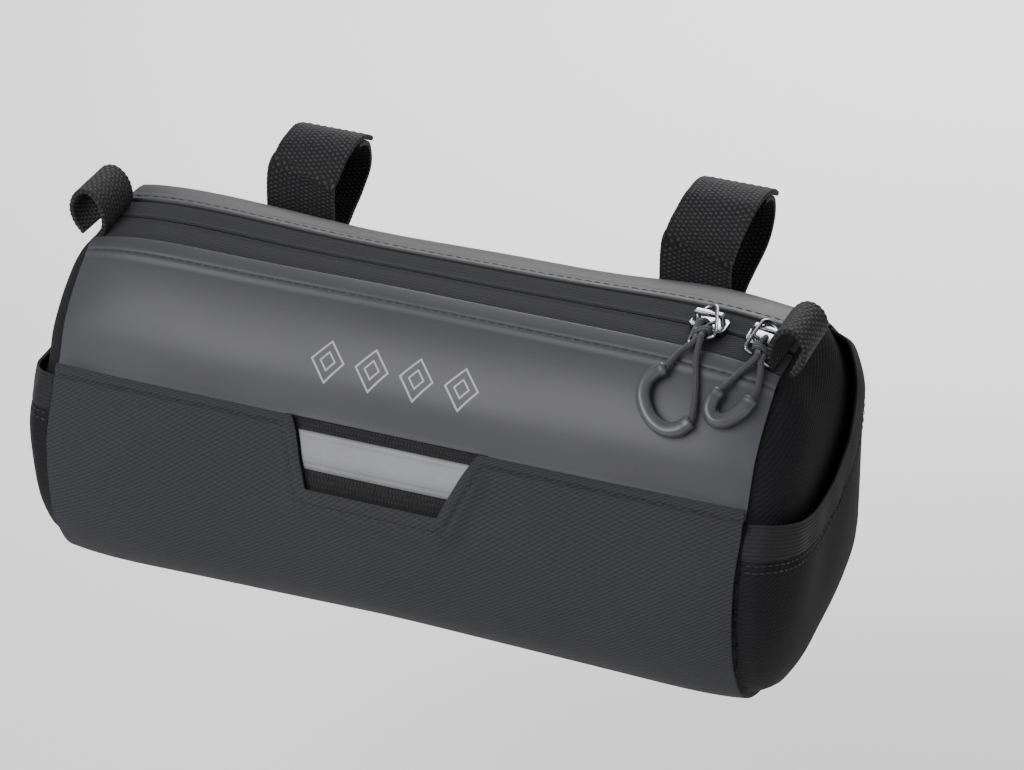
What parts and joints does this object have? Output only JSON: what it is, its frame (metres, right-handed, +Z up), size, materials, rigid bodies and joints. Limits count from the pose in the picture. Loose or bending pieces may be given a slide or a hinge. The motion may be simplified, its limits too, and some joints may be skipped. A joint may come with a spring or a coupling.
{
  "type": "bicycle handlebar bag",
  "caption": "Soft rounded bag that hangs behind two hook and loop straps on a handlebar, zipped on top, with end pockets and side loops.",
  "frame": {"origin": "on the handlebar's axis inside the strap loops, over the middle of the bag's length", "axes": "+X along the handlebar to the right as seen from the front, -Y out of the bag's front, +Z up"},
  "size_m": [0.2716, 0.1334, 0.1358],
  "materials": {
    "coated_cloth": "smooth satin coating",
    "woven_cloth": "diagonal weave, matte",
    "zip_cloth": "fine twill, matte",
    "webbing": "ribbed, matte",
    "reflective_film": "silver grey, satin",
    "black_nickel": "dark, polished",
    "cord": "braided, matte",
    "rubber": "satin"
  },
  "bodies": {
    "root": {"front_panel": "coated_cloth", "lower_panel": "woven_cloth", "back_panel": "woven_cloth", "rear_top_panel": "coated_cloth", "zip_tape_front": "zip_cloth", "zip_tape_rear": "zip_cloth", "end_panel_left": "woven_cloth", "end_panel_right": "woven_cloth", "side_pocket_left": "woven_cloth", "side_pocket_right": "woven_cloth", "pocket_band_left": "webbing", "pocket_band_right": "webbing", "side_loop_left": "webbing", "side_loop_right": "webbing", "light_webbing": "webbing", "reflective_strip": "reflective_film", "strap_left": "webbing", "strap_right": "webbing", "strap_hook_left": "webbing", "strap_hook_right": "webbing", "zip_slider_left": "black_nickel", "zip_slider_right": "black_nickel", "pull_tab_left": "black_nickel", "pull_tab_right": "black_nickel", "pull_cord_left": "cord", "pull_cord_right": "cord", "pull_knot_left": "cord", "pull_knot_right": "cord", "pull_grip_left": "rubber", "pull_grip_right": "rubber"}
  },
  "joints": []
}
